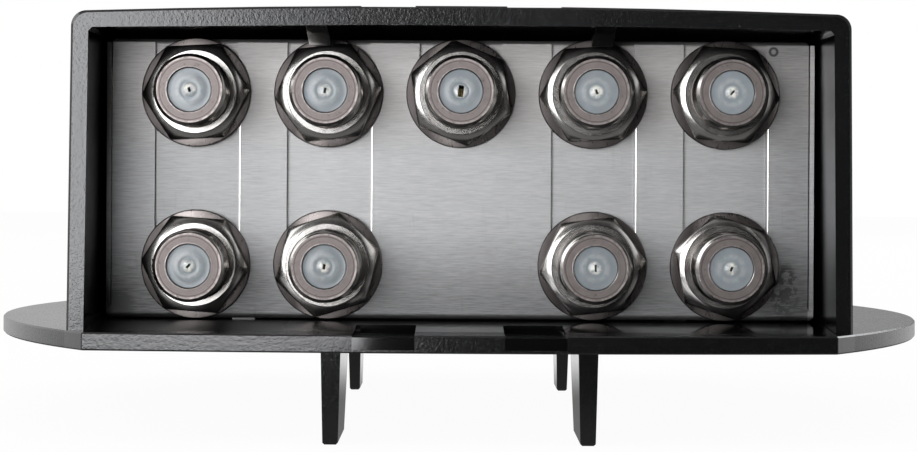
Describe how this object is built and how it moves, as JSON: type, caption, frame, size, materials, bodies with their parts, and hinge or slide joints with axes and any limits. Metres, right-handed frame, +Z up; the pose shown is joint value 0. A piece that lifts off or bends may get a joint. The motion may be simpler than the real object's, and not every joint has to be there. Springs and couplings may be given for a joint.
{
  "type": "coaxial splitter",
  "caption": "Outdoor coaxial splitter: folded metal case with two rows of threaded sockets in a moulded weather hood with ears, strap slots and mast fins.",
  "frame": {"origin": "midway between the ends and between the ears, at the tips of the mast fins", "axes": "+X to the right seen from the sockets, +Y from the sockets to the back, +Z up from the fins to the roof"},
  "size_m": [0.134, 0.144, 0.0559],
  "materials": {
    "hood_plastic": "fine-grained outside, glossy inside",
    "case_sheet": "brushed along X",
    "nickel": "bright nickel plating",
    "insulator_plastic": "translucent white",
    "contact_metal": "tinned",
    "board": "green solder mask",
    "pillar_metal": "zinc plated",
    "black_moulding": "moulded black",
    "capacitor_ceramic": "fired ceramic",
    "ferrite": "sintered ferrite"
  },
  "bodies": {
    "root": {"board_pillars": "pillar_metal", "board_screws": "pillar_metal", "case_frame": "case_sheet", "case_pan": "case_sheet", "contact_bottom_1": "contact_metal", "contact_bottom_2": "contact_metal", "contact_bottom_4": "contact_metal", "contact_bottom_5": "contact_metal", "contact_top_1": "contact_metal", "contact_top_2": "contact_metal", "contact_top_3": "contact_metal", "contact_top_4": "contact_metal", "contact_top_5": "contact_metal", "controller_chip": "black_moulding", "coupling_capacitors": "capacitor_ceramic", "feed_chokes": "ferrite", "insulator_bottom_1": "insulator_plastic", "insulator_bottom_2": "insulator_plastic", "insulator_bottom_4": "insulator_plastic", "insulator_bottom_5": "insulator_plastic", "insulator_top_1": "insulator_plastic", "insulator_top_2": "insulator_plastic", "insulator_top_3": "insulator_plastic", "insulator_top_4": "insulator_plastic", "insulator_top_5": "insulator_plastic", "link_pins": "contact_metal", "link_strips": "black_moulding", "lower_board": "board", "output_choke": "ferrite", "reservoir_capacitor": "pillar_metal", "roof_pillars": "pillar_metal", "socket_bottom_1": "nickel", "socket_bottom_2": "nickel", "socket_bottom_4": "nickel", "socket_bottom_5": "nickel", "socket_nuts": "nickel", "socket_top_1": "nickel", "socket_top_2": "nickel", "socket_top_3": "nickel", "socket_top_4": "nickel", "socket_top_5": "nickel", "socket_washers": "nickel", "switch_chips": "black_moulding", "upper_board": "board", "voltage_regulator": "black_moulding", "weather_hood": "hood_plastic"}
  },
  "joints": []
}
